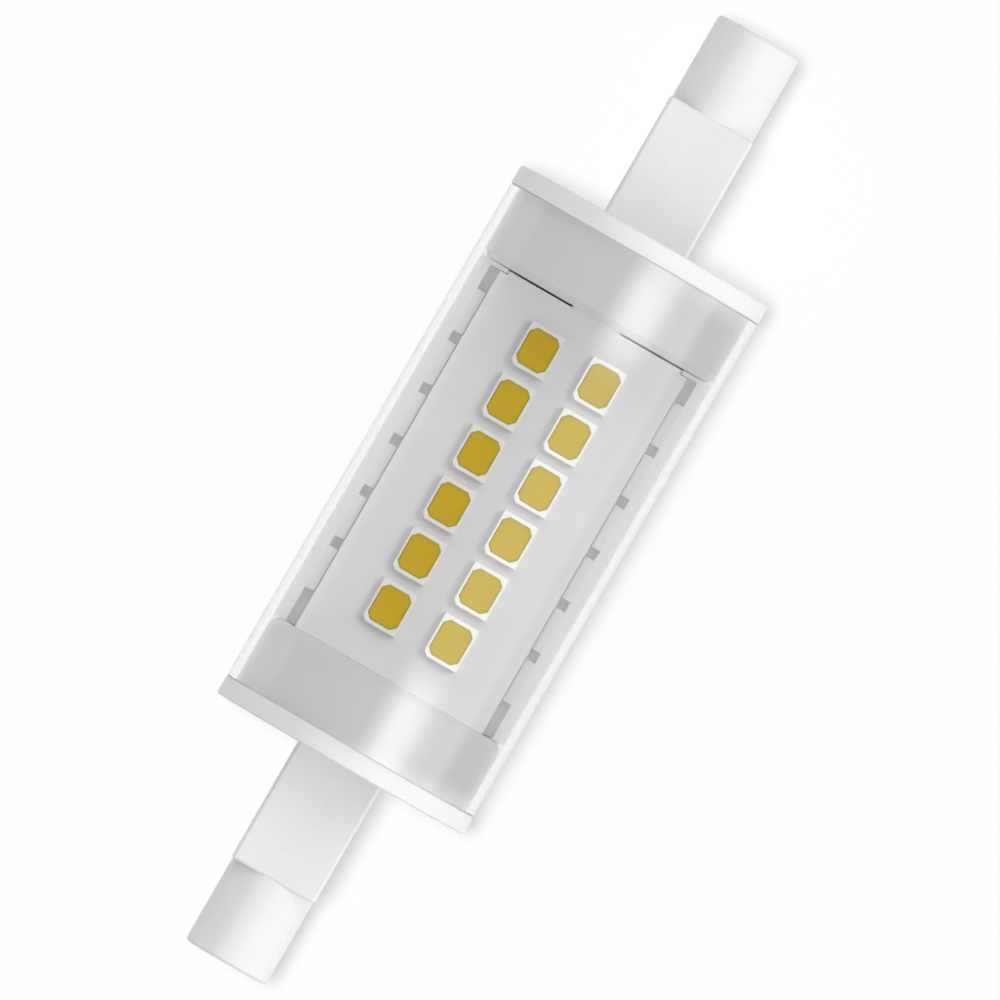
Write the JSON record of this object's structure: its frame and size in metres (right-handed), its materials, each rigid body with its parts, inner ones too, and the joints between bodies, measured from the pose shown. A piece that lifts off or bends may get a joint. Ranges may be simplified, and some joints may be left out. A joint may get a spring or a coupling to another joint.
{
  "type": "linear led bulb",
  "caption": "Short double-ended linear LED lamp: clear round tube over a white LED board, white end caps with square blocks, and round ends with recessed contacts.",
  "frame": {"origin": "middle of the lamp on the tube's axis", "axes": "+X along the lamp towards its right end, +Z out of the lit face of the LED board"},
  "size_m": [0.078, 0.0208, 0.0208],
  "materials": {
    "clear_tube": "clear, gloss",
    "cap_white": "white moulding, soft gloss",
    "contact_metal": "nickel plated",
    "lead_sleeve": "white silicone sleeve",
    "carrier_white": "white moulding, satin",
    "board_white": "white solder mask on aluminium",
    "led_white": "white moulding",
    "phosphor": "yellow phosphor in clear resin",
    "driver_laminate": "glass laminate, satin",
    "black_moulding": "black moulding, fine texture",
    "resistor_ceramic": "lacquered",
    "capacitor_can": "dark film sleeve",
    "choke_ferrite": "dark ferrite",
    "pin_metal": "tinned"
  },
  "bodies": {
    "root": {"bridge_rectifier": "black_moulding", "carrier": "carrier_white", "choke": "choke_ferrite", "clear_tube": "clear_tube", "contact_left": "contact_metal", "contact_right": "contact_metal", "driver_board": "driver_laminate", "driver_chip": "black_moulding", "end_cap_left": "cap_white", "end_cap_right": "cap_white", "fusible_resistor": "resistor_ceramic", "led_board": "board_white", "led_body_a1": "led_white", "led_body_a2": "led_white", "led_body_a3": "led_white", "led_body_a4": "led_white", "led_body_a5": "led_white", "led_body_a6": "led_white", "led_body_b1": "led_white", "led_body_b2": "led_white", "led_body_b3": "led_white", "led_body_b4": "led_white", "led_body_b5": "led_white", "led_body_b6": "led_white", "led_phosphor_a1": "phosphor", "led_phosphor_a2": "phosphor", "led_phosphor_a3": "phosphor", "led_phosphor_a4": "phosphor", "led_phosphor_a5": "phosphor", "led_phosphor_a6": "phosphor", "led_phosphor_b1": "phosphor", "led_phosphor_b2": "phosphor", "led_phosphor_b3": "phosphor", "led_phosphor_b4": "phosphor", "led_phosphor_b5": "phosphor", "led_phosphor_b6": "phosphor", "link_pin_negative": "pin_metal", "link_pin_positive": "pin_metal", "output_diode": "black_moulding", "smoothing_capacitor": "capacitor_can", "supply_lead_left": "lead_sleeve", "supply_lead_right": "lead_sleeve"}
  },
  "joints": []
}
